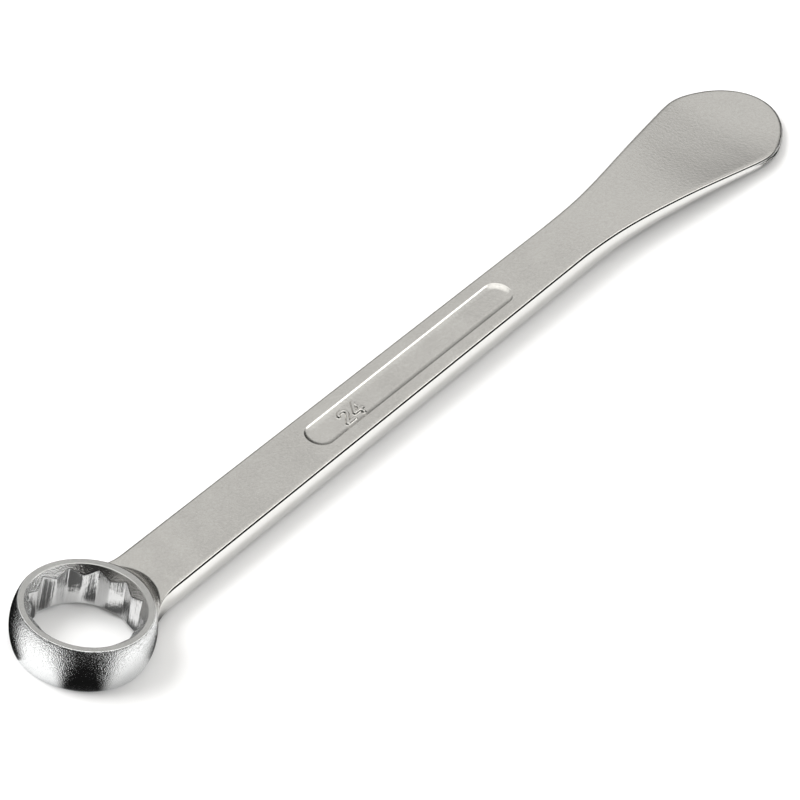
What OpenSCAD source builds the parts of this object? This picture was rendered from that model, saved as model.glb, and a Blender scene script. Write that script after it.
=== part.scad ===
// Tyre lever with a 12-point ring wrench at one end and a flared spoon at the other.
// One forging, drawn as three regions that meet on flat planes.
// The lever runs along +X from the ring, +Z is up, and the origin is where the
// socket's axis meets the ring's underside, on the surface that the lever lies on.

/* [Ring] */
// Size of the socket across its flats
socket_af = 24; // [19:0.5:27]
// Height of the ring
ring_h = 12.4; // [10:0.1:16]
// Largest diameter of the barrel-shaped ring
ring_d = 34.4; // [33:0.1:44]
// Diameter of the mouth of the chamfer at each end of the socket
chamfer_d = 28.8; // [28:0.1:31]
// Angle from the lever's axis to the socket's first corner
socket_turn = 24; // [0:1:30]

/* [Shank] */
// Width of the bar where it leaves the ring
root_w = 16.4; // [14:0.1:20]
// Width of the bar where the spoon begins
neck_w = 14; // [11:0.1:16]
// Thickness of the bar
bar_t = 6.9; // [5:0.1:9]
// Height of the bar's underside above the ring's underside
bar_lift = 0.6; // [0.2:0.1:3]
// Width of the small bevel along the lever's long edges
edge_bevel = 0.4; // [0.2:0.1:0.8]
// How far the middle of the bar's side stands out past its edges
side_crown = 0.5; // [0:0.1:0.8]
// Radius of the hollows in plan where the bar runs into the ring
root_fillet = 22; // [12:1:30]
// Length of the slope that falls from the ring's rim to the bar's upper face
shoulder_l = 7.2; // [5:0.1:12]

/* [Panel] */
// Length of the recessed panel
panel_l = 79; // [60:1:95]
// Width of the recessed panel
panel_w = 7.8; // [5:0.1:9]
// Depth of the recessed panel
panel_depth = 0.55; // [0.3:0.05:1]
// How far the panel's wall leans inwards
panel_draft = 0.9; // [0.3:0.1:1.5]
// Distance from the socket's axis to the middle of the panel
panel_x = 127.2; // [115:0.1:135]

/* [Spoon] */
// Distance from the socket's axis to the spoon's tip
reach = 275.5; // [255:0.5:300]
// Length of the spoon
spoon_l = 85.5; // [75:0.5:95]
// Width of the ellipse that rounds off the spoon's end
end_w = 31.6; // [26:0.1:36]
// Length of that ellipse's half
end_l = 24.6; // [18:0.1:32]
// Thickness of the spoon at its tip
tip_t = 2.1; // [1.4:0.1:2.5]
// Angle at which each side of the spoon opens
flare_angle = 9.2; // [6:0.1:11]
// Angle at which the spoon first slopes down
first_slope = 2.3; // [1:0.1:3]

/* [Hidden] */

smooth = 96;
eps = 0.01;
crown_steps = [-1, -0.5, 0, 0.5, 1];

// Ring: a sphere between two flat faces, bored by two hexagons turned 30 degrees apart.
hex_r = socket_af / sqrt(3);
corner_trim = 0.2;
corner_r = hex_r - corner_trim;
tooth_r = socket_af / 2 / cos(15);
chamfer_depth = chamfer_d / 2 - tooth_r;

// Bar: it leaves the ring at head_x, which is past the root hollows, and ends at spoon_x.
head_x = 30;
spoon_x = reach - spoon_l;
bar_top = bar_lift + bar_t;
taper = (root_w - neck_w) / 2 / spoon_x;

// Root hollow: a circle that touches the side of the bar and runs into the barrel a little
// below its skin. The webs between the hollows stay clear of the bar's bevels.
web_r = ring_d / 2 - 0.3;
web_inset = edge_bevel + 0.3;
hollow_y = root_w / 2 + root_fillet;
hollow_x = sqrt(pow(web_r + root_fillet, 2) - pow(hollow_y, 2));
touch = web_r / (web_r + root_fillet);

// Shoulder: a cone whose top stays under the ring's face and whose foot is sunk into the bar.
rim_r = sqrt(pow(ring_d, 2) - pow(ring_h, 2)) / 2;
shoulder_top = ring_h - 0.2;
shoulder_foot = bar_top - 0.5;
shoulder_inset = edge_bevel + 0.2;

// Spoon: where the flare and the bend begin, and how gently they set in.
flare_x = spoon_x + 15.5;
flare_ease = 6;
slope_x = spoon_x + 3;
bend_x = reach - 44.5;
slope_ease = 4;
blend = 26;
thinning = 1.6;
spoon_steps = 40;
tip_gap = 0.02;

// Half of the bar's width at x.
function bar_half(x) = root_w / 2 - taper * x;

// A ramp that is flat before x = 0, rises one for one after it, and bends over about `ease`.
function ramp(x, ease) = ease * ln(1 + exp(x / ease));

// The same ramp, set to start at height 0 where the spoon begins.
function spoon_ramp(x, from, ease) = ramp(x - from, ease) - ramp(spoon_x - from, ease);

// Half-width of the spoon at x: the flare and the elliptical end, blended.
function flare_half(x) = bar_half(spoon_x) + tan(flare_angle) * spoon_ramp(x, flare_x, flare_ease);
function end_half(x) = end_w / 2 * sqrt(max(0, 1 - pow(max(0, x - reach + end_l) / end_l, 2)));
function spoon_half(x) = end_half(x) < eps ? 0
    : pow(pow(flare_half(x), -blend) + pow(end_half(x), -blend), -1 / blend);

// Height of the spoon's upper face at x. The second slope brings the tip down to z = 0.
function first_drop(x) = tan(first_slope) * spoon_ramp(x, slope_x, slope_ease);
second_slope = (bar_top - tip_t - first_drop(reach)) / spoon_ramp(reach, bend_x, slope_ease);
function spoon_top(x) = bar_top - first_drop(x) - second_slope * spoon_ramp(x, bend_x, slope_ease);

// Thickness of the spoon at x.
function spoon_t(x) = tip_t + (bar_t - tip_t) * pow((reach - x) / spoon_l, thinning);

// Half-width, underside, upper face and crown of the lever at x.
function half_at(x) = x <= spoon_x ? bar_half(x) : spoon_half(x);
function top_at(x) = x <= spoon_x ? bar_top : spoon_top(x);
function thick_at(x) = x <= spoon_x ? bar_t : spoon_t(x);

// One side of the lever's cross-section at x, from the underside up to the upper face.
function side_points(x) = let (w = half_at(x), top = top_at(x), t = thick_at(x), b = edge_bevel)
    concat(
        [[w - b, top - t]],
        [for (k = crown_steps) [w + side_crown * t / bar_t * (1 - k * k), top - t / 2 + k * (t / 2 - b)]],
        [[w - b, top]]
    );

// The whole cross-section at x, as points in space.
function section(x) = let (side = side_points(x), last = len(side) - 1)
    concat([for (p = side) [x, p.x, p.y]], [for (i = [last:-1:0]) [x, -side[i].x, side[i].y]]);

// A solid that joins the cross-sections at each x of the list.
module loft(xs) {
    n = len(section(xs[0]));
    last = (len(xs) - 1) * n;
    polyhedron(
        points = [for (x = xs, p = section(x)) p],
        faces = concat(
            [[for (j = [0:n - 1]) j], [for (j = [n - 1:-1:0]) last + j]],
            [for (i = [0:len(xs) - 2], j = [0:n - 1], half = [0, 1])
                let (a = i * n + j, b = i * n + (j + 1) % n)
                half == 0 ? [a, b + n, b] : [a, a + n, b + n]]
        )
    );
}

// The solid barrel of the ring.
module barrel() {
    intersection() {
        translate([0, 0, ring_h / 2]) sphere(d = ring_d, $fn = smooth);
        translate([-ring_d, -ring_d, 0]) cube([2 * ring_d, 2 * ring_d, ring_h]);
    }
}

// The hollowed webs on both sides of the bar where it runs into the ring.
module root_webs() {
    translate([0, 0, bar_lift + web_inset])
        linear_extrude(bar_t - 2 * web_inset)
            difference() {
                polygon([
                    [0, -touch * hollow_y], [touch * hollow_x, -touch * hollow_y],
                    [hollow_x, -bar_half(hollow_x)], [hollow_x, bar_half(hollow_x)],
                    [touch * hollow_x, touch * hollow_y], [0, touch * hollow_y]
                ]);
                for (side = [-1, 1])
                    translate([hollow_x, side * hollow_y]) circle(r = root_fillet, $fn = smooth);
            }
}

// The slope between the ring's rim and the bar's upper face, almost as wide as the bar.
module shoulder() {
    fall = ring_h - bar_top;
    intersection() {
        translate([0, 0, shoulder_foot])
            cylinder(
                h = shoulder_top - shoulder_foot,
                r1 = rim_r + shoulder_l * (ring_h - shoulder_foot) / fall,
                r2 = rim_r + shoulder_l * (ring_h - shoulder_top) / fall,
                $fn = smooth
            );
        linear_extrude(ring_h)
            polygon([
                [0, shoulder_inset - bar_half(0)], [head_x, shoulder_inset - bar_half(head_x)],
                [head_x, bar_half(head_x) - shoulder_inset], [0, bar_half(0) - shoulder_inset]
            ]);
    }
}

// Everything that is cut out of the ring: the 12-point hole and a chamfer at each end.
module socket_hole() {
    rotate([0, 0, socket_turn])
        translate([0, 0, -1])
            linear_extrude(ring_h + 2)
                intersection() {
                    union() {
                        circle(r = hex_r, $fn = 6);
                        rotate(30) circle(r = hex_r, $fn = 6);
                    }
                    circle(r = corner_r, $fn = smooth);
                }
    translate([0, 0, -eps])
        cylinder(h = chamfer_depth + eps, r1 = chamfer_d / 2 + eps, r2 = tooth_r, $fn = smooth);
    translate([0, 0, ring_h - chamfer_depth])
        cylinder(h = chamfer_depth + eps, r1 = tooth_r, r2 = chamfer_d / 2 + eps, $fn = smooth);
}

module ring_head() {
    color([0.72, 0.72, 0.71])
        difference() {
            union() {
                barrel();
                root_webs();
                shoulder();
                loft([0, head_x]);
            }
            socket_hole();
        }
}

// The recessed panel: a slot with round ends and leaning walls.
module panel() {
    run = panel_l - panel_w;
    translate([panel_x - run / 2, 0, bar_top - panel_depth]) {
        for (x = [0, run])
            translate([x, 0, 0])
                cylinder(h = panel_depth + eps, r1 = panel_w / 2 - panel_draft,
                         r2 = panel_w / 2, $fn = smooth);
        rotate([90, 0, 90])
            linear_extrude(run)
                polygon([
                    [-panel_w / 2 + panel_draft, 0], [panel_w / 2 - panel_draft, 0],
                    [panel_w / 2, panel_depth + eps], [-panel_w / 2, panel_depth + eps]
                ]);
    }
}

module shank() {
    color([0.75, 0.74, 0.72])
        difference() {
            loft([head_x, spoon_x]);
            panel();
        }
}

module spoon_blade() {
    blade_l = spoon_l - tip_gap;
    color([0.76, 0.75, 0.73])
        loft([for (i = [0:spoon_steps]) spoon_x + blade_l * (1 - pow(1 - i / spoon_steps, 2))]);
}

ring_head();
shank();
spoon_blade();
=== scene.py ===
"""Tyre lever with a ring wrench at one end.

The detailed skins, their materials, the lights and the camera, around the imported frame.
"""

import math

import bmesh
import bpy
import numpy as np
from mathutils import Matrix, Vector


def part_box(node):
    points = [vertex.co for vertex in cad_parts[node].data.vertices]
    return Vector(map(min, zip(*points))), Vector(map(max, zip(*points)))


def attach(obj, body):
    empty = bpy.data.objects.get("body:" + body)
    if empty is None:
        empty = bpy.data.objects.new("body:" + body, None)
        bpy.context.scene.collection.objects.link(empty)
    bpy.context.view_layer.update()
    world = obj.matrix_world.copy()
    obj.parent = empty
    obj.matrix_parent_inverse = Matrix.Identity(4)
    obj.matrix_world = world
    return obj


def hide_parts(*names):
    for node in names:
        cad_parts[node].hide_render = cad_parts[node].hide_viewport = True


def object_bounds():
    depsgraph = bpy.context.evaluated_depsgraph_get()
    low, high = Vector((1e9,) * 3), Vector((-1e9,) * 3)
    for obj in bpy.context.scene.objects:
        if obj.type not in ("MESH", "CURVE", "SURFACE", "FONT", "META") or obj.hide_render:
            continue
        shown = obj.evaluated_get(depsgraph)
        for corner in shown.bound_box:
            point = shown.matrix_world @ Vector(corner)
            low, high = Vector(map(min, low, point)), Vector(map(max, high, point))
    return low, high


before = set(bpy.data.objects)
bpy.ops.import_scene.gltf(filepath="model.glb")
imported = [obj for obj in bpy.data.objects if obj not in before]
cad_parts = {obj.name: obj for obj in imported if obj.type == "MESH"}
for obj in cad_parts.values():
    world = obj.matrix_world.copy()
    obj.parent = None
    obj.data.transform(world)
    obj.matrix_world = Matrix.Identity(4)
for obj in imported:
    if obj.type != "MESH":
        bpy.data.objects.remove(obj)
cad_low, cad_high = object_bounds()

# ---------------------------------------------------------------- sizes
# Lengths on the lever are in millimetres until make_mesh() turns them into metres. The overall
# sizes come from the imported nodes, and most others repeat the values that the CAD source states.
MM = 0.001


def box_mm(node):
    """Lowest and highest corner of a CAD node, in millimetres."""
    low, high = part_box(node)
    return [round(c / MM, 2) for c in low], [round(c / MM, 2) for c in high]


ring_low, ring_high = box_mm("ring_head")
bar_low, bar_high = box_mm("shank")
blade_low, blade_high = box_mm("spoon_blade")

RING_H = ring_high[2]
BARREL_R = -ring_low[0]
RIM_R = math.sqrt(BARREL_R**2 - (RING_H / 2) ** 2)
HEAD_X = bar_low[0]
SPOON_X = bar_high[0]
BAR_LIFT = bar_low[2]
BAR_TOP = bar_high[2]
BAR_T = BAR_TOP - BAR_LIFT
REACH = blade_high[0]
SPOON_L = REACH - SPOON_X

# Socket
SOCKET_FLAT = 12.0  # half of its size across the flats
SOCKET_TURN = math.radians(24)  # from the lever's axis to the first corner
CORNER_R = 13.66  # circle that trims the corners
CORNER_SOFT = 0.3  # how softly it trims them
TOOTH_SOFT = math.radians(1.1)  # round of the teeth between the corners
MOUTH_R = 14.4  # outer edge of the chamfer at each end
MOUTH_ROUND = 0.14  # rounds on the chamfers' edges

# Bar
ROOT_HALF = 8.2  # half-width at the ring's axis
NECK_HALF = 7.0  # half-width where the spoon begins
TAPER = (ROOT_HALF - NECK_HALF) / SPOON_X
SIDE_CROWN = 0.5  # how far the middle of the side stands out

# Long edges of the lever: the faces roll off, and a bevel leads to the side.
ROLL_W = 0.7
ROLL_H = 0.15
BEVEL_W = 0.34
BEVEL_H = 0.4
BEVEL_LEFT = 0.55  # share of the bevel that would be left at no thickness
# Steps outwards and upwards that the rounds of the bevel's edges take on the face, the bevel and
# the side.
FACE_STEP = (-0.07, 0.017)
BEVEL_STEP = (0.06, -0.072)
SIDE_STEP = (0.03, -0.1)

# Root of the bar, and the shoulder that falls from the ring's rim to it
ROOT_FILLET = 22.0  # radius of the hollows beside the bar
SHOULDER_L = 7.2
SHOULDER_TURN = math.radians(50)  # half of the angle that it takes up round the ring
SHOULDER_BLEND = 3.0  # extra length over which its S-curve takes over from the barrel's curve
SHOULDER_SLOPE = 0.6  # how steeply the S-curve starts
RIM_SHARE = 0.15  # share of the fall that the rim's round takes up
RIM_ROUND = 0.26  # width of that round on the rim's face
STEP_RUN = 1.6  # length of the low step under the root

# Panel
PANEL_X = 127.2
PANEL_HALF_L = 39.5
PANEL_HALF_W = 3.9
PANEL_DEPTH = 0.55
WALL_W = 0.42  # width and height of the steep wall
WALL_H = 0.27
WALL_EASE = 0.16  # how softly the wall starts and ends, as a share of its width
FOOT_W = 1.5  # width of the hollow between the wall and the flat floor

# Size figures on the panel's floor
DIGIT_H = 3.9
DIGIT_W = 2.9
DIGIT_RISE = 0.5
STROKE = 0.66
STROKE_TOP = 0.35  # half of a stroke's flat top, and the width of its flanks, as shares of STROKE
STROKE_FLANK = 0.68
BASELINE = -2.3
FIRST_LEFT = 99.5
SECOND_LEFT = 103.6
SLANT = 0.14

# Spoon
FLARE = math.radians(9.2)
FLARE_X = SPOON_X + 15.5  # where the sides begin to open, and how gently
FLARE_EASE = 6
END_HALF_W = 15.8  # ellipse that rounds off the end
END_L = 24.6
END_BLEND = 26  # power that blends the flare and the ellipse
FIRST_SLOPE = math.radians(2.3)
SLOPE_X = SPOON_X + 3  # where the first and the second slope begin, and how gently
BEND_X = REACH - 44.5
SLOPE_EASE = 4
TIP_LIFT = 0.05  # how far the slope levels off at the tip
TIP_X = REACH - 12
TIP_EASE = 3
TIP_T = 2.1
THINNING = 1.6  # power by which the thickness falls to the tip's
DISH = 0.5  # depth of the hollow in the upper face
DISH_X = SPOON_X + 22
DISH_IN = 34.0  # lengths over which the hollow sets in and runs out
DISH_OUT = 22.0


# ---------------------------------------------------------------- mesh helpers
MERGE = 4e-6  # metres
SHARP = math.radians(38)


def make_mesh(name, points, faces, materials, face_materials=None):
    """A closed mesh object from points in millimetres. Doubled points are merged."""
    mesh = bpy.data.meshes.new(name)
    mesh.from_pydata((np.asarray(points) * MM).tolist(), [], faces)
    for material in materials:
        mesh.materials.append(material)
    if face_materials is not None:
        mesh.polygons.foreach_set("material_index", face_materials)
    work = bmesh.new()
    work.from_mesh(mesh)
    bmesh.ops.remove_doubles(work, verts=work.verts, dist=MERGE)
    bmesh.ops.recalc_face_normals(work, faces=work.faces)
    work.to_mesh(mesh)
    work.free()
    mesh.shade_smooth()
    mesh.set_sharp_from_angle(angle=SHARP)
    piece = bpy.data.objects.new(name, mesh)
    bpy.context.scene.collection.objects.link(piece)
    return piece


def grid_faces(rows, columns, wrap_rows, wrap_columns):
    """Quads of a grid of points, closed on itself where asked."""
    faces = []
    for i in range(rows if wrap_rows else rows - 1):
        k = (i + 1) % rows
        for j in range(columns if wrap_columns else columns - 1):
            m = (j + 1) % columns
            faces.append((i * columns + j, i * columns + m, k * columns + m, k * columns + j))
    return faces


def smooth01(t):
    """Smooth step from 0 to 1."""
    t = np.clip(t, 0.0, 1.0)
    return t * t * (3 - 2 * t)


def bend(start, corner, end, steps):
    """Points of a curve that rounds off a corner, from start to end."""
    return [
        tuple((1 - t) ** 2 * a + 2 * t * (1 - t) * b + t * t * c for a, b, c in zip(start, corner, end))
        for t in np.linspace(0, 1, steps)
    ]


def stepped(point, step, sign=1):
    """The point that lies one step forwards or backwards from another."""
    return point[0] + sign * step[0], point[1] + sign * step[1]


def side_profile(thick, crown):
    """Offsets outwards and heights upwards, going down the lever's side.

    The upper face rolls off to a small bevel, then comes the crowned side. Its lower half mirrors
    its upper half.
    """
    q, h = [], []
    share = BEVEL_LEFT + (1 - BEVEL_LEFT) * thick / BAR_T
    bevel_w, bevel_h = BEVEL_W * share, BEVEL_H * share
    for u in np.linspace(0, 1, 7)[:-1]:
        q.append(-bevel_w - ROLL_W * (1 - u))
        h.append(thick - ROLL_H * u * u)
    lip = (-bevel_w, thick - ROLL_H)
    foot = (0.0, thick - ROLL_H - bevel_h)
    for start, corner, end in (
        (stepped(lip, FACE_STEP), lip, stepped(lip, BEVEL_STEP)),
        (stepped(foot, BEVEL_STEP, -1), foot, stepped(foot, SIDE_STEP)),
    ):
        for point in bend(start, corner, end, 4):
            q.append(point[0])
            h.append(point[1])
    middle = thick / 2
    half = h[-1] - middle
    for k in np.linspace(1, 0, 8)[1:]:
        q.append(SIDE_STEP[0] + crown * (1 - k * k))
        h.append(middle + k * half)
    q += q[-2::-1]
    h += [thick - v for v in h[-2::-1]]
    return q, h


def bar_half(x):
    """Half of the bar's width."""
    return ROOT_HALF - TAPER * x


# ---------------------------------------------------------------- materials
def node_tree(material):
    """A material's node tree, emptied."""
    material.use_nodes = True
    tree = material.node_tree
    tree.nodes.clear()
    return tree


def add(tree, kind, **values):
    """A node with its inputs and properties set by name."""
    node = tree.nodes.new(kind)
    for key, value in values.items():
        key = key.replace("_", " ")
        if key in node.inputs:
            node.inputs[key].default_value = value
        else:
            setattr(node, key.replace(" ", "_"), value)
    return node


def noise(tree, where, scale, detail=3.0):
    """Smooth noise around 0.5, with its scale in cells per metre."""
    node = add(tree, "ShaderNodeTexNoise", Scale=scale, Detail=detail, Roughness=0.55)
    tree.links.new(where, node.inputs["Vector"])
    return node.outputs["Fac"]


def spread(tree, value, low, high, to_low, to_high):
    """Maps a value from one range to another, clamped."""
    node = add(tree, "ShaderNodeMapRange", clamp=True)
    for key, number in (("From Min", low), ("From Max", high), ("To Min", to_low), ("To Max", to_high)):
        node.inputs[key].default_value = number
    tree.links.new(value, node.inputs["Value"])
    return node.outputs["Result"]


def mix_socket(sockets, label):
    """The socket of a Mix node that is in use, of those that share a label."""
    return next(socket for socket in sockets if socket.name == label and socket.enabled)


def bumped(tree, height, distance, strength=1.0, normal=None):
    """A normal tilted by a height map, on top of another normal if there is one."""
    node = add(tree, "ShaderNodeBump", Strength=strength, Distance=distance)
    tree.links.new(height, node.inputs["Height"])
    if normal is not None:
        tree.links.new(normal, node.inputs["Normal"])
    return node.outputs["Normal"]


# Noises that every finish shares, with scales per metre
CLOUD_SCALE = 90.0
CLOUD_RANGE = (0.3, 0.7)  # the part of the cloudy noise that is used
CLOUD_SHARE = (0.08, 0.32)  # what it adds to the mix of the two tints
FINE_SCALE = 1500.0
FINE_SHARE = 0.6  # what the fine noise adds to it
PIT_EDGES = (0.05, 0.6)  # bottom and rim of a pit, as shares of the pits' spacing


def plate(tree, where, tints, gloss, grain, ripple, pits, streak=1.0):
    """Colour, roughness and normal of plated steel: fine grain, a slow ripple and small pits.

    tints and gloss are ranges of colour and roughness; grain, ripple and pits are each a scale per
    metre and a depth in millimetres. A streak below 1 draws the grain out along Z, as a broach does.
    """
    mapping = add(tree, "ShaderNodeMapping", Scale=(1.0, 1.0, streak))
    tree.links.new(where, mapping.inputs["Vector"])
    drawn = mapping.outputs["Vector"]

    cloud = noise(tree, where, CLOUD_SCALE, 4.0)
    mixed = add(tree, "ShaderNodeMath", operation="MULTIPLY_ADD")
    tree.links.new(noise(tree, drawn, FINE_SCALE), mixed.inputs[0])
    mixed.inputs[1].default_value = FINE_SHARE
    tree.links.new(spread(tree, cloud, *CLOUD_RANGE, *CLOUD_SHARE), mixed.inputs[2])
    colour = add(tree, "ShaderNodeMix", data_type="RGBA")
    colour.inputs["A"].default_value = (*tints[0], 1)
    colour.inputs["B"].default_value = (*tints[1], 1)
    tree.links.new(mixed.outputs[0], colour.inputs["Factor"])

    normal = bumped(tree, noise(tree, where, ripple[0], 2.0), ripple[1] * MM)
    cells = add(tree, "ShaderNodeTexVoronoi", Scale=pits[0])
    tree.links.new(where, cells.inputs["Vector"])
    hole = spread(tree, cells.outputs["Distance"], *PIT_EDGES, 0.0, 1.0)
    normal = bumped(tree, hole, pits[1] * MM, normal=normal)
    normal = bumped(tree, noise(tree, drawn, grain[0]), grain[1] * MM, normal=normal)
    return colour.outputs["Result"], spread(tree, cloud, *CLOUD_RANGE, *gloss), normal


def metal(name, look, far_look=None, near_x=0.0, far_x=0.0):
    """A plated steel. The far look, if any, takes over from the near one between near_x and far_x."""
    material = bpy.data.materials.new(name)
    tree = node_tree(material)
    out = add(tree, "ShaderNodeOutputMaterial")
    shader = add(tree, "ShaderNodeBsdfPrincipled", Metallic=1.0)
    tree.links.new(shader.outputs["BSDF"], out.inputs["Surface"])
    where = add(tree, "ShaderNodeTexCoord").outputs["Object"]
    parts = plate(tree, where, **look)
    if far_look is not None:
        split = add(tree, "ShaderNodeSeparateXYZ")
        tree.links.new(where, split.inputs[0])
        along = spread(tree, split.outputs["X"], near_x * MM, far_x * MM, 0.0, 1.0)
        mixes = []
        for kind, near, far in zip(("RGBA", "FLOAT", "VECTOR"), parts, plate(tree, where, **far_look)):
            mix = add(tree, "ShaderNodeMix", data_type=kind)
            tree.links.new(along, mix.inputs["Factor"])
            tree.links.new(near, mix_socket(mix.inputs, "A"))
            tree.links.new(far, mix_socket(mix.inputs, "B"))
            mixes.append(mix_socket(mix.outputs, "Result"))
        parts = mixes
    for socket, part in zip(("Base Color", "Roughness", "Normal"), parts):
        tree.links.new(part, shader.inputs[socket])
    return material


SATIN = dict(
    tints=((0.59, 0.58, 0.56), (0.80, 0.79, 0.765)), gloss=(0.19, 0.26),
    grain=(1500.0, 0.036), ripple=(140.0, 0.02), pits=(900.0, 0.006),
)
SMOOTH = dict(
    tints=((0.66, 0.655, 0.64), (0.79, 0.785, 0.77)), gloss=(0.08, 0.12),
    grain=(1500.0, 0.02), ripple=(140.0, 0.03), pits=(900.0, 0.003),
)
BRIGHT = dict(
    tints=((0.74, 0.75, 0.755), (0.90, 0.91, 0.915)), gloss=(0.06, 0.12),
    grain=(2600.0, 0.12), ripple=(700.0, 0.03), pits=(3000.0, 0.055),
)
RIM = dict(
    tints=((0.50, 0.505, 0.50), (0.67, 0.67, 0.66)), gloss=(0.20, 0.27),
    grain=(2400.0, 0.03), ripple=(260.0, 0.02), pits=(900.0, 0.004),
)
BROACHED = dict(
    tints=((0.66, 0.66, 0.655), (0.90, 0.905, 0.91)), gloss=(0.06, 0.12),
    grain=(1500.0, 0.13), ripple=(500.0, 0.05), pits=(900.0, 0.01), streak=0.05,
)
SMOOTH_X = 18.0  # where the smooth finish of the sides sets in
satin = metal("satin_plate", SATIN)
bright = metal("bright_plate", BRIGHT, SATIN, 5.0, 15.0)
edge_metal = metal("edge_plate", SATIN, SMOOTH, SMOOTH_X, SMOOTH_X + 6.0)
rim_metal = metal("rim_plate", RIM)
broached = metal("broached_bore", BROACHED)


# ---------------------------------------------------------------- ring and root of the shank
def bore_radius(theta):
    """The 12-point socket: flanks of two hexagons, with round corners and slightly round teeth."""
    step = math.radians(30)
    from_corner = np.abs((theta - SOCKET_TURN + step / 2) % step - step / 2)
    from_tooth = step / 2 - from_corner
    from_tooth = np.sqrt(from_tooth**2 + TOOTH_SOFT**2) - TOOTH_SOFT
    flank = SOCKET_FLAT / np.cos(step / 2 + from_tooth)
    mix = np.clip(0.5 + 0.5 * (flank - CORNER_R) / CORNER_SOFT, 0, 1)
    return flank * (1 - mix) + CORNER_R * mix - CORNER_SOFT * mix * (1 - mix)


def barrel_radius(z):
    """Radius of the ring's barrel at height z."""
    return np.sqrt(BARREL_R**2 - (z - RING_H / 2) ** 2)


def outline_radius(theta, q, z):
    """Distance from the ring's axis to the outer skin at height z, where the side stands out by q.

    Going round from the bar, the skin is the root's end plane, the bar's side, the hollow beside it
    and the barrel. The hollow's circle touches the side and the barrel, and a few rounds of
    substitution find its centre, hollow_x and hollow_y.
    """
    a = np.abs(theta)
    near = barrel_radius(z)
    lean = math.hypot(1, TAPER)
    hollow_x = 25.0
    for _ in range(6):
        hollow_y = ROOT_HALF + q - TAPER * hollow_x + ROOT_FILLET * lean
        hollow_x = math.sqrt((near + ROOT_FILLET) ** 2 - hollow_y**2)
    touch = math.atan2(hollow_y, hollow_x)
    foot_x = hollow_x - ROOT_FILLET * TAPER / lean
    foot = math.atan2(ROOT_HALF + q - TAPER * foot_x, foot_x)
    along = hollow_x * np.cos(a) + hollow_y * np.sin(a)
    beyond = hollow_x**2 + hollow_y**2 - ROOT_FILLET**2
    arc = along - np.sqrt(np.maximum(along**2 - beyond, 0))
    side = (ROOT_HALF + q) / (np.sin(a) + TAPER * np.cos(a))
    end = HEAD_X / np.cos(np.minimum(a, foot))
    return np.where(a >= touch, near, np.where(a >= foot, arc, np.minimum(side, end)))


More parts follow.
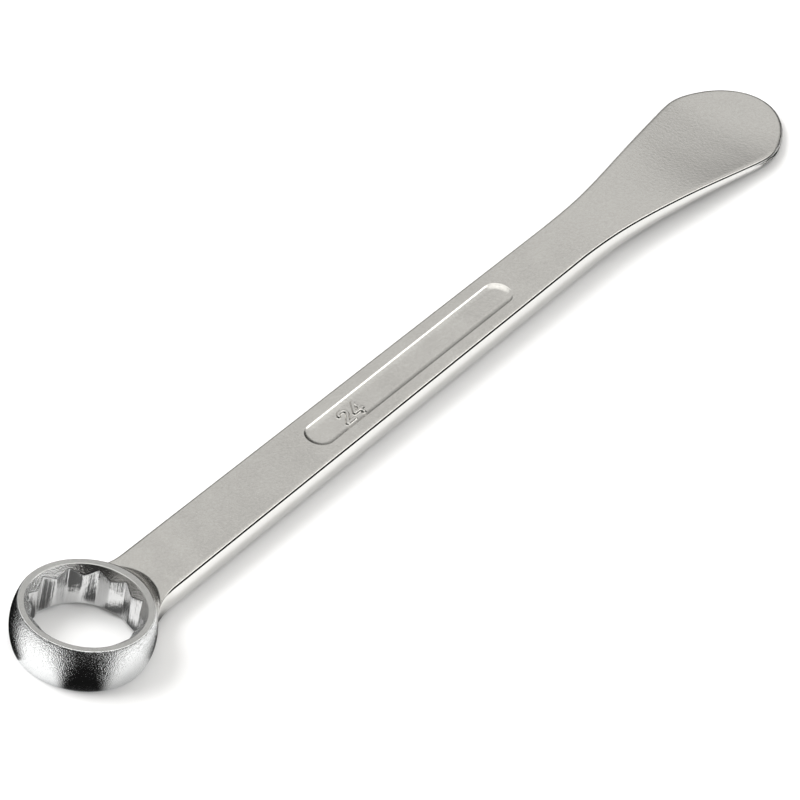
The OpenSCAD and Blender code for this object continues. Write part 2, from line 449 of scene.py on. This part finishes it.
def build_ring():
    """The ring, with the root of the shank drawn out of its barrel as far as the shank's start.

    Each row is a closed line round the socket's axis, and the rows go up through the socket, out
    over the rim and down the outside. Groups 0, 1 and 2 are the bright, broached and rim finish.
    """
    count = 720
    base = np.arange(count) / count * 2 * math.pi
    base = np.where(base > math.pi, base - 2 * math.pi, base)
    end_line = math.radians(15)
    settled = math.radians(60)

    def warped(q):
        """Grid angles, moved so that the root's end corner lies on the grid line at end_line."""
        corner = math.atan2(ROOT_HALF + q - TAPER * HEAD_X, HEAD_X)
        a = np.abs(base)
        inside = a * corner / end_line
        outside = corner + (a - end_line) / (settled - end_line) * (settled - corner)
        moved = np.where(a <= end_line + 1e-9, inside, np.where(a < settled, outside, a))
        return np.sign(base) * moved

    rows = []
    groups = []

    def put(r, z, group, theta=base):
        """Adds a row of points from their radii, heights and angles."""
        r, z, theta = (np.broadcast_to(v, base.shape) for v in (r, z, theta))
        rows.append(np.stack([r * np.cos(theta), r * np.sin(theta), z], axis=1))
        groups.append(group)

    def put_bend(start, corner, end, steps, group):
        """Adds the rows that round a corner, from (radius, height) pairs."""
        for r, z in bend(start, corner, end, steps):
            put(r, z, group)

    # Underside mouth, socket wall and upper mouth, with all their edges rounded by MOUTH_ROUND.
    bore = bore_radius(base)
    depth = MOUTH_R - bore
    slant = MOUTH_ROUND * math.sqrt(0.5)
    flat_r = MOUTH_R + MOUTH_ROUND
    cone_r = MOUTH_R - slant
    cone = depth - 2 * slant
    wall = RING_H - 2 * depth - 2 * MOUTH_ROUND
    throat = RING_H - depth
    put_bend((flat_r, 0.0), (MOUTH_R, 0.0), (cone_r, slant), 4, 2)
    for t in np.linspace(0.1, 0.9, 5):
        put(cone_r - cone * t, slant + cone * t, 0)
    put_bend((bore + slant, depth - slant), (bore, depth), (bore, depth + MOUTH_ROUND), 4, 1)
    for t in np.linspace(0.04, 0.96, 14):
        put(bore, depth + MOUTH_ROUND + wall * t, 1)
    put_bend((bore, throat - MOUTH_ROUND), (bore, throat), (bore + slant, throat + slant), 4, 0)
    for t in np.linspace(0.1, 0.9, 7):
        put(bore + slant + cone * t, throat + slant + cone * t, 0)
    put_bend((cone_r, RING_H - slant), (MOUTH_R, RING_H), (flat_r, RING_H), 4, 2)

    # The fall from the rim to the height of the bar's upper face: the barrel's own curve round the
    # ring, and an S-curve over the root.
    offsets, heights = side_profile(BAR_T, SIDE_CROWN)
    theta_edge = warped(offsets[0])
    edge = outline_radius(theta_edge, offsets[0], BAR_TOP)
    barrel_run = float(barrel_radius(BAR_TOP)) - RIM_R
    run = barrel_run + (SHOULDER_L - barrel_run) * smooth01(1 - np.abs(base) / SHOULDER_TURN)
    run = np.minimum(run, edge - RIM_R)
    root = smooth01((run - barrel_run) / SHOULDER_BLEND)

    def fall_point(v):
        """Radii and height of the fall, from the rim at v = 0 to the bar's upper face at v = 1."""
        drop = SHOULDER_SLOPE * (v**3 - 2 * v * v + v) + 3 * v * v - 2 * v**3
        z = RING_H - (RING_H - BAR_TOP) * drop
        own = (float(barrel_radius(z)) - RIM_R) / barrel_run
        return RIM_R + run * ((1 - root) * own + root * v), z

    # The rim's outer round ends at RIM_SHARE of the fall, and its corner lies on the tangent there.
    r_first, z_first = fall_point(RIM_SHARE)
    r_next, z_next = fall_point(RIM_SHARE + 0.01)
    corner_r = r_first - (r_next - r_first) / (z_next - z_first) * (z_first - RING_H)
    rim_end = corner_r - RIM_ROUND
    for t in np.linspace(0.15, 0.85, 4):
        put(flat_r + (rim_end - flat_r) * t, RING_H, 2)
    put_bend((rim_end, RING_H), (corner_r, RING_H), (r_first, z_first), 7, 0)
    for v in np.linspace(RIM_SHARE, 1, 30)[1:]:
        put(*fall_point(v), 0)
    flat_from = RIM_R + run
    for t in np.linspace(0, 1, 13)[1:-1]:
        put(flat_from + (edge - flat_from) * t, BAR_TOP, 0, base + (theta_edge - base) * t)
    # Side of the root: the same rounds and crown as the bar's side.
    for q, h in zip(offsets, heights):
        theta = warped(q)
        put(outline_radius(theta, q, BAR_LIFT + h), BAR_LIFT + h, 0, theta)
    # Underside of the root, and the small step down to the ring's underside.
    edge_low = outline_radius(theta_edge, offsets[0], BAR_LIFT)
    step_run = np.minimum(edge_low - RIM_R, STEP_RUN)
    step_from = RIM_R + step_run
    for t in np.linspace(1, 0, 9)[1:-1]:
        put(step_from + (edge_low - step_from) * t, BAR_LIFT, 0, base + (theta_edge - base) * t)
    for v in np.linspace(1, 0, 7):
        put(RIM_R + step_run * v, BAR_LIFT * (1 - math.cos(math.pi * v)) / 2, 0)
    low_end = RIM_R - 0.05
    for t in np.linspace(0.15, 0.85, 4):
        put(low_end + (flat_r - low_end) * t, 0.0, 2)

    points = np.concatenate(rows)
    faces = grid_faces(len(rows), count, True, True)
    shades = np.repeat(groups, count).tolist()
    return make_mesh("ring_skin", points, faces, [bright, broached, rim_metal], shades)


# ---------------------------------------------------------------- shank with its panel
def stroke_lines():
    """Centre lines of the two size figures, in plain strokes.

    Each figure is drawn in a box of one by one, then scaled, slanted and put in its place.
    """
    bow_turn = np.radians(np.linspace(165, -35, 14))
    bow = [(0.5 + 0.46 * math.cos(a), 0.72 + 0.26 * math.sin(a)) for a in bow_turn]
    two = bow + [(0.04, 0.02), (1.0, 0.02)]
    four = [(0.78, 0.0), (0.78, 1.0), (0.02, 0.3), (1.04, 0.3)]
    lines = []
    for line, left in ((two, FIRST_LEFT), (four, SECOND_LEFT)):
        lines.append([
            (left + x * DIGIT_W + SLANT * y * DIGIT_H, BASELINE + y * DIGIT_H) for x, y in line
        ])
    return lines


def digits_height(x, y):
    """How far the raised figures stand above the panel's floor at each point."""
    near = np.full(x.shape, DIGIT_H)
    for line in stroke_lines():
        for (ax, ay), (bx, by) in zip(line[:-1], line[1:]):
            dx, dy = bx - ax, by - ay
            t = np.clip(((x - ax) * dx + (y - ay) * dy) / (dx * dx + dy * dy), 0, 1)
            near = np.minimum(near, np.hypot(x - ax - t * dx, y - ay - t * dy))
    return DIGIT_RISE * (1 - smooth01((near - STROKE * STROKE_TOP) / (STROKE * STROKE_FLANK)))


def soft_step(t):
    """A straight rise from 0 to 1 with both of its corners eased."""
    def hinge(v):
        eased = (v + WALL_EASE) ** 2 / (4 * WALL_EASE)
        return np.where(v > WALL_EASE, v, np.where(v > -WALL_EASE, eased, 0.0))

    return hinge(t) - hinge(t - 1)


def top_height(x, y):
    """Height of the shank's upper face, with the panel sunk into it and the figures on its floor."""
    straight = PANEL_HALF_L - PANEL_HALF_W
    inward = PANEL_HALF_W - np.hypot(np.maximum(np.abs(x - PANEL_X) - straight, 0), y)
    foot = np.clip(1 - (inward - WALL_W) / FOOT_W, 0, 1)
    sunk = WALL_H * soft_step(inward / WALL_W) + (PANEL_DEPTH - WALL_H) * (1 - foot * foot)
    return BAR_TOP - sunk + digits_height(x, y)


def build_shank():
    """The bar as a row of closed sections, with the grid fine at the panel's walls and figures."""
    # Distances inwards from the panel's outline that get a grid line.
    wall = np.concatenate([
        np.linspace(-0.15, WALL_W + 0.15, 12),
        np.linspace(0.75, WALL_W + FOOT_W, 7),
    ])
    flat_half = PANEL_HALF_W - wall[-1]
    ys = np.concatenate([np.linspace(0, flat_half, 16)[:-1], PANEL_HALF_W - wall[::-1]])
    panel_from = PANEL_X - PANEL_HALF_L
    panel_to = PANEL_X + PANEL_HALF_L
    figures_from = FIRST_LEFT - 0.5
    figures_to = figures_from + 10
    xs = np.unique(np.round(np.concatenate([
        np.linspace(HEAD_X, panel_from - 1, 24),
        np.linspace(panel_from - 1, panel_from + 6, 50),
        np.linspace(panel_from + 6, figures_from, 10),
        np.linspace(figures_from, figures_to, 78),
        np.linspace(figures_to, panel_to - 6, 28),
        np.linspace(panel_to - 6, panel_to + 1, 50),
        np.linspace(panel_to + 1, SPOON_X, 12),
    ]), 4))
    offsets, heights = side_profile(BAR_T, SIDE_CROWN)
    points = []
    for x in xs:
        edge = bar_half(x) + offsets[0]
        outer = ys[-1] + (edge - ys[-1]) * np.linspace(0, 1, 7)[1:-1]
        inner = np.concatenate([ys, outer])
        upper = np.concatenate([-inner[::-1], inner[1:]])
        side = [(bar_half(x) + q, BAR_LIFT + h) for q, h in zip(offsets, heights)]
        z = top_height(np.full(upper.shape, x), upper)
        points += [(x, y, v) for y, v in zip(upper, z)]
        points += [(x, y, v) for y, v in side]
        points += [(x, y, BAR_LIFT) for y in np.linspace(edge, -edge, 14)[1:-1]]
        points += [(x, -y, v) for y, v in reversed(side)]
    size = len(points) // len(xs)
    faces = grid_faces(len(xs), size, False, True)
    last = len(points) - size
    faces.append(tuple(range(size - 1, -1, -1)))
    faces.append(tuple(last + j for j in range(size)))
    return make_mesh("shank_skin", points, faces, [satin])


# ---------------------------------------------------------------- spoon
def ramp(x, ease):
    """Flat before x = 0 and rising one for one after it, with the corner bent over about `ease`."""
    return ease * np.logaddexp(0, x / ease)


def spoon_ramp(x, start, ease):
    """The same ramp from a given start, at height 0 where the spoon begins."""
    return ramp(x - start, ease) - ramp(SPOON_X - start, ease)


def spoon_half(x):
    """Half-width of the spoon: the flare and the elliptical end, blended."""
    flare = bar_half(SPOON_X) + math.tan(FLARE) * spoon_ramp(x, FLARE_X, FLARE_EASE)
    over = np.maximum(0, x - REACH + END_L) / END_L
    end = END_HALF_W * np.sqrt(np.maximum(0, 1 - over**2))
    return (flare**-END_BLEND + np.maximum(end, 1e-3) ** -END_BLEND) ** (-1 / END_BLEND)


def spoon_top(x):
    """Height of the spoon's upper face: it slopes, bends down and levels off a little at the tip."""
    def fall(at):
        first = math.tan(FIRST_SLOPE) * spoon_ramp(at, SLOPE_X, SLOPE_EASE)
        return first - TIP_LIFT * spoon_ramp(at, TIP_X, TIP_EASE)

    second = (BAR_TOP - TIP_T - fall(REACH)) / spoon_ramp(REACH, BEND_X, SLOPE_EASE)
    return BAR_TOP - fall(x) - second * spoon_ramp(x, BEND_X, SLOPE_EASE)


def spoon_dish(x):
    """How far the middle of the spoon's upper face is sunk below its edges."""
    return DISH * smooth01((x - DISH_X) / DISH_IN) * smooth01((REACH - x) / DISH_OUT)


def spoon_thick(x):
    """Thickness of the spoon, from the bar's down to the tip's."""
    return TIP_T + (BAR_T - TIP_T) * np.maximum(0, (REACH - x) / SPOON_L) ** THINNING


def build_spoon():
    """Sections follow the outline's own normals, so the edge keeps its round all the way to the tip."""
    count = 130
    s = np.linspace(0, 1, count)
    xs = SPOON_X + SPOON_L * (1 - (1 - s) ** 2)
    half = spoon_half(xs)
    half[-1] = 0.0
    along_x = np.gradient(xs, s)
    along_y = np.gradient(half, s)
    along_x[-1] = 0.0
    along_y[-1] = -1.0
    length = np.hypot(along_x, along_y)
    nx, ny = -along_y / length, along_x / length
    nx[0], ny[0] = 0.0, 1.0
    across = np.linspace(-1, 1, 45)
    points = []
    for x, w, ax, ay in zip(xs, half, nx, ny):
        thick = float(spoon_thick(x))
        q, h = side_profile(thick, SIDE_CROWN * thick / BAR_T)
        side = []
        for a, b in zip(q, h):
            px = x + a * ax
            side.append((px, max(0.0, w + a * ay), float(spoon_top(px) - thick + b)))
        upper_x, edge, _ = side[0]
        lower_x, _, low_z = side[-1]
        top_z = float(spoon_top(upper_x))
        dish = float(spoon_dish(upper_x))
        points += [(upper_x, edge * k, top_z - dish * (1 - k * k)) for k in across[:-1]]
        points += side
        points += [(lower_x, edge * k, low_z) for k in across[-2:0:-3]]
        points += [(px, -py, pz) for px, py, pz in reversed(side[1:])]
    size = len(points) // count
    faces = grid_faces(count, size, False, True)
    faces.append(tuple(range(size - 1, -1, -1)))
    return make_mesh("spoon_skin", points, faces, [satin])


# ---------------------------------------------------------------- the pieces in the frame
STEEP = 0.8  # the upright part of the normal, below which a face counts as a side
PANEL_CLEAR = 4.5  # distance from the lever's middle that is clear of the panel


def smooth_sides(piece, from_x=0.0, from_y=0.0):
    """Gives a piece's steep sides the smooth finish, from a place along X and a distance along Y."""
    piece.data.materials.append(edge_metal)
    slot = len(piece.data.materials) - 1
    for face in piece.data.polygons:
        x, y, z = (c / MM for c in face.center)
        on_side = abs(face.normal.z) < STEEP and z < BAR_TOP - 0.01
        if on_side and x >= from_x and abs(y) >= from_y:
            face.material_index = slot


ring = build_ring()
shank = build_shank()
spoon = build_spoon()
smooth_sides(ring, SMOOTH_X, PANEL_CLEAR)
smooth_sides(shank, HEAD_X, PANEL_CLEAR)
smooth_sides(spoon)
for piece, node, slot in (
    (ring, "ring_head", "chrome_ring"),
    (shank, "shank", "satin_chrome"),
    (spoon, "spoon_blade", "satin_chrome"),
):
    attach(piece, "root")
    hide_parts(node)


# ---------------------------------------------------------------- floor, painted reflections, light and camera
# Brightness of the surround by the height of the direction, from the horizon up to overhead.
SKY_LEVELS = (
    (0.0, 0.18), (0.20, 0.23), (0.36, 0.44), (0.46, 0.64), (0.53, 0.78), (0.60, 0.96),
    (0.65, 0.52), (0.72, 0.60), (0.80, 1.05), (0.90, 1.4), (1.0, 1.5),
)
# Soft round panels in it: azimuth, elevation, inner and outer radius in degrees, brightness.
SKY_PANELS = (
    (-150, 22, 35, 60, 0.03),
    (-50, 5, 22, 32, 0.02),
    (-36, 38, 8, 15, 2.4),
    (140, 5, 20, 45, 0.04),
    (5, -2, 22, 33, 0.03),
)


def paper_material(name, colour, rough):
    """Pale paper with a faint tooth."""
    material = bpy.data.materials.new(name)
    tree = node_tree(material)
    out = add(tree, "ShaderNodeOutputMaterial")
    shader = add(tree, "ShaderNodeBsdfPrincipled", Roughness=rough)
    where = add(tree, "ShaderNodeTexCoord").outputs["Object"]
    mix = add(tree, "ShaderNodeMix", data_type="RGBA")
    mix.inputs["A"].default_value = (*colour, 1)
    mix.inputs["B"].default_value = (*(c * 0.985 for c in colour), 1)
    tree.links.new(noise(tree, where, 30.0), mix.inputs["Factor"])
    tree.links.new(mix.outputs["Result"], shader.inputs["Base Color"])
    tree.links.new(bumped(tree, noise(tree, where, 900.0), 0.00003, 0.4), shader.inputs["Normal"])
    tree.links.new(shader.outputs["BSDF"], out.inputs["Surface"])
    return material


def paper_sheet(name, line, paper):
    """A wide sheet of paper along a line of (y, z) points, in metres."""
    half_width = 9.0
    points = [(x, y, z) for y, z in line for x in (-half_width, half_width)]
    faces = [(2 * i, 2 * i + 1, 2 * i + 3, 2 * i + 2) for i in range(len(line) - 1)]
    mesh = bpy.data.meshes.new(name)
    mesh.from_pydata(points, [], faces)
    mesh.materials.append(paper)
    mesh.shade_smooth()
    sheet = bpy.data.objects.new(name, mesh)
    bpy.context.scene.collection.objects.link(sheet)
    return sheet


def build_sweep():
    """The floor, and the backdrop that it curves up into.

    The backdrop is so far off that the camera stands in front of it in every view, and nothing
    mirrors it.
    """
    depth, radius, height = 6.6, 1.5, 3.6
    foot = depth - radius
    paper = paper_material("sweep_paper", (0.86, 0.86, 0.86), 0.9)
    turns = np.linspace(0, math.pi / 2, 16)
    curve = [(foot + radius * math.sin(a), radius * (1 - math.cos(a))) for a in turns]
    paper_sheet("floor", [(-depth, 0.0), (foot, 0.0)], paper)
    paper_sheet("backdrop", curve + [(depth, height)], paper).visible_glossy = False


def area_light(name, place, target, size, power):
    """A soft light that no surface mirrors, aimed at a target."""
    data = bpy.data.lights.new(name, "AREA")
    data.shape = "RECTANGLE"
    data.size, data.size_y = size
    data.energy = power
    lamp = bpy.data.objects.new(name, data)
    lamp.location = place
    aim = Vector(target) - Vector(place)
    lamp.rotation_mode = "QUATERNION"
    lamp.rotation_quaternion = aim.to_track_quat("-Z", "Y")
    lamp.visible_glossy = False
    bpy.context.scene.collection.objects.link(lamp)


def heading(azimuth, elevation):
    """Unit vector from angles in degrees: azimuth from +X towards +Y, elevation above the floor."""
    a, e = math.radians(azimuth), math.radians(elevation)
    return math.cos(a) * math.cos(e), math.sin(a) * math.cos(e), math.sin(e)


def build_world():
    """A soft studio surround: dark low down, grey above it, white overhead, with a few soft panels."""
    world = bpy.data.worlds.new("studio")
    bpy.context.scene.world = world
    world.use_nodes = True
    tree = world.node_tree
    tree.nodes.clear()
    out = add(tree, "ShaderNodeOutputWorld")
    back = add(tree, "ShaderNodeBackground", Strength=1.0)
    where = add(tree, "ShaderNodeTexCoord").outputs["Generated"]
    split = add(tree, "ShaderNodeSeparateXYZ")
    tree.links.new(where, split.inputs[0])
    levels = add(tree, "ShaderNodeFloatCurve")
    curve = levels.mapping.curves[0]
    levels.mapping.use_clip = False
    for place, level in SKY_LEVELS[1:-1]:
        curve.points.new(place, level)
    curve.points[0].location = SKY_LEVELS[0]
    curve.points[-1].location = SKY_LEVELS[-1]
    for point in curve.points:
        point.handle_type = "VECTOR"
    levels.mapping.update()
    tree.links.new(split.outputs["Z"], levels.inputs["Value"])
    total = levels.outputs["Value"]
    for azimuth, elevation, inner, outer, level in SKY_PANELS:
        toward = add(tree, "ShaderNodeVectorMath", operation="DOT_PRODUCT")
        tree.links.new(where, toward.inputs[0])
        toward.inputs[1].default_value = heading(azimuth, elevation)
        soft = add(tree, "ShaderNodeMapRange", interpolation_type="SMOOTHSTEP")
        soft.inputs["From Min"].default_value = math.cos(math.radians(outer))
        soft.inputs["From Max"].default_value = math.cos(math.radians(inner))
        tree.links.new(toward.outputs["Value"], soft.inputs["Value"])
        mix = add(tree, "ShaderNodeMix", data_type="FLOAT")
        tree.links.new(soft.outputs["Result"], mix.inputs["Factor"])
        tree.links.new(total, mix.inputs["A"])
        mix.inputs["B"].default_value = level
        total = mix.outputs["Result"]
    warm = add(tree, "ShaderNodeCombineColor")
    for channel, share in (("Red", 1.0), ("Green", 0.99), ("Blue", 0.965)):
        part = add(tree, "ShaderNodeMath", operation="MULTIPLY")
        tree.links.new(total, part.inputs[0])
        part.inputs[1].default_value = share
        tree.links.new(part.outputs[0], warm.inputs[channel])
    tree.links.new(warm.outputs["Color"], back.inputs["Color"])
    tree.links.new(back.outputs["Background"], out.inputs["Surface"])


def build_camera():
    """A long lens far off, in front and to the ring's side, turned a little about its own axis."""
    azimuth, elevation, turn = (math.radians(v) for v in (-60.09, 40.27, 9.87))
    distance = 2.8283
    middle = (cad_low + cad_high) / 2
    aim = Vector((middle.x, middle.y, 0)) + Vector((-0.01273, -0.00539, 0.006))
    right = Vector((math.cos(azimuth), math.sin(azimuth), 0))
    level = Vector((-math.sin(azimuth), math.cos(azimuth), 0))
    ahead = level * math.cos(elevation) - Vector((0, 0, math.sin(elevation)))
    up = right.cross(ahead)
    side = right * math.cos(turn) + up * math.sin(turn)
    head = up * math.cos(turn) - right * math.sin(turn)
    data = bpy.data.cameras.new("camera")
    data.sensor_width = 36.0
    data.lens = 540.0
    data.clip_start, data.clip_end = 0.1, 30.0
    camera = bpy.data.objects.new("camera", data)
    camera.rotation_mode = "QUATERNION"
    camera.location = aim - ahead * distance
    camera.rotation_quaternion = Matrix((side, head, -ahead)).transposed().to_quaternion()
    bpy.context.scene.collection.objects.link(camera)
    bpy.context.scene.camera = camera


# The dark cards are painted reflections: sheets that only glossy rays see, standing in for shade that
# the metal mirrors.
CARD_Z = 0.25  # height of the dark cards above the floor
PAINTED_REFLECTION_GREY = 0.008


def soft_edge(inside, width):
    """0 outside and 1 inside an edge, from the distance inside it and the edge's softness."""
    return smooth01(inside / width + 0.5)


def sector(x, y, apex, middle, half, soft):
    """A soft-edged sector of the floor: its apex, middle bearing, half angle and softness in degrees."""
    bearing = np.degrees(np.arctan2(y - apex[1], x - apex[0]))
    return soft_edge(half - np.abs((bearing - middle + 180) % 360 - 180), soft)


def painted_reflection_card(name, x, y, dark):
    """A painted dark reflection: a sheet just above the floor that only reflections see, as strong as
    `dark` at each point.
    """
    points = np.stack([x, y, np.full(x.shape, CARD_Z)], axis=-1).reshape(-1, 3)
    mesh = bpy.data.meshes.new(name)
    mesh.from_pydata((points * MM).tolist(), [], grid_faces(*x.shape, False, False))
    shade = mesh.attributes.new("dark", "FLOAT", "POINT")
    shade.data.foreach_set("value", dark.ravel().astype(np.float32))
    material = bpy.data.materials.new(name)
    tree = node_tree(material)
    out = add(tree, "ShaderNodeOutputMaterial")
    mix = add(tree, "ShaderNodeMixShader")
    strength = add(tree, "ShaderNodeAttribute", attribute_name="dark")
    clear = add(tree, "ShaderNodeBsdfTransparent")
    card = add(tree, "ShaderNodeEmission", Color=(PAINTED_REFLECTION_GREY, PAINTED_REFLECTION_GREY, PAINTED_REFLECTION_GREY, 1), Strength=1.0)
    tree.links.new(strength.outputs["Fac"], mix.inputs["Fac"])
    tree.links.new(clear.outputs["BSDF"], mix.inputs[1])
    tree.links.new(card.outputs["Emission"], mix.inputs[2])
    tree.links.new(mix.outputs["Shader"], out.inputs["Surface"])
    mesh.materials.append(material)
    sheet = bpy.data.objects.new(name, mesh)
    sheet.visible_camera = False
    sheet.visible_diffuse = False
    sheet.visible_shadow = False
    sheet.visible_transmission = False
    bpy.context.scene.collection.objects.link(sheet)


def disc(x, y, middle, radius, soft):
    """A soft-edged disc of the floor."""
    return soft_edge(radius - np.hypot(x - middle[0], y - middle[1]), soft)


def painted_reflection_round_ring(x, y):
    """How dark the painted reflection round the ring and inside its hole is at each point."""
    r = np.hypot(x, y)
    # Painted dark reflections that the barrel mirrors: patches in front of the ring, behind it and far
    # off to the left, and a disc that stands in for the shadow in the corner between the ring and the
    # bar's near side.
    near = np.maximum.reduce([
        sector(x, y, (-8.3, -5.6), -136, 43, 22),
        sector(x, y, (-16, 7), 57, 50, 12),
        disc(x, y, (15.5, -14), 8.5, 5) * 0.9,
    ])
    far_left = sector(x, y, (0, 0), 150, 45, 20) * soft_edge(r - 100, 60)
    # Painted dark reflections: the bore mirrors these three patches in its light and dark flanks.
    patches = np.maximum.reduce([
        soft_edge(x - 8.6, 1.0) * soft_edge(4.5 - y, 2.0) * 0.88,
        soft_edge(5.0 - x, 2.0) * soft_edge(-1.6 - y, 1.5) * 0.8,
        soft_edge(3.2 - x, 2.0) * soft_edge(y - 1.2, 1.5) * 0.85,
    ])
    outside = soft_edge(r - 15.5, 1.0)
    inside = soft_edge(12.6 - r, 1.0)
    return np.maximum.reduce([near * outside, far_left, patches * inside])


def build_painted_reflection_cards():
    """The painted dark reflections: round the ring and inside its hole, and beyond the spoon's tip."""
    r, turn = np.meshgrid(
        np.concatenate([np.linspace(0.5, 32.5, 33), np.geomspace(36, 600, 18)]),
        np.radians(np.linspace(-180, 180, 181)), indexing="ij",
    )
    x, y = r * np.cos(turn), r * np.sin(turn)
    painted_reflection_card("ring_painted_reflection", x, y, painted_reflection_round_ring(x, y))
    x, y = np.meshgrid(
        np.concatenate([np.linspace(250, 310, 121), np.geomspace(315, 500, 12)]),
        np.concatenate([np.linspace(-30, 40, 141), np.geomspace(45, 220, 12)]), indexing="ij",
    )
    # A painted dark reflection, for the black edge of the spoon's tip.
    painted_reflection_card("tip_painted_reflection", x, y, sector(x, y, (255, -14), 0, 68, 20))


build_sweep()
build_world()
build_painted_reflection_cards()
for name, place, size, power in (
    ("fill", (-0.8, -1.1, 1.2), (1.6, 1.2), 14),
    ("key", (-0.4, 1.0, 1.1), (1.2, 1.0), 27),
):
    area_light(name, place, (0.12, 0, 0), size, power)
build_camera()

view = bpy.context.scene.view_settings
view.view_transform = "Standard"
view.look = "None"
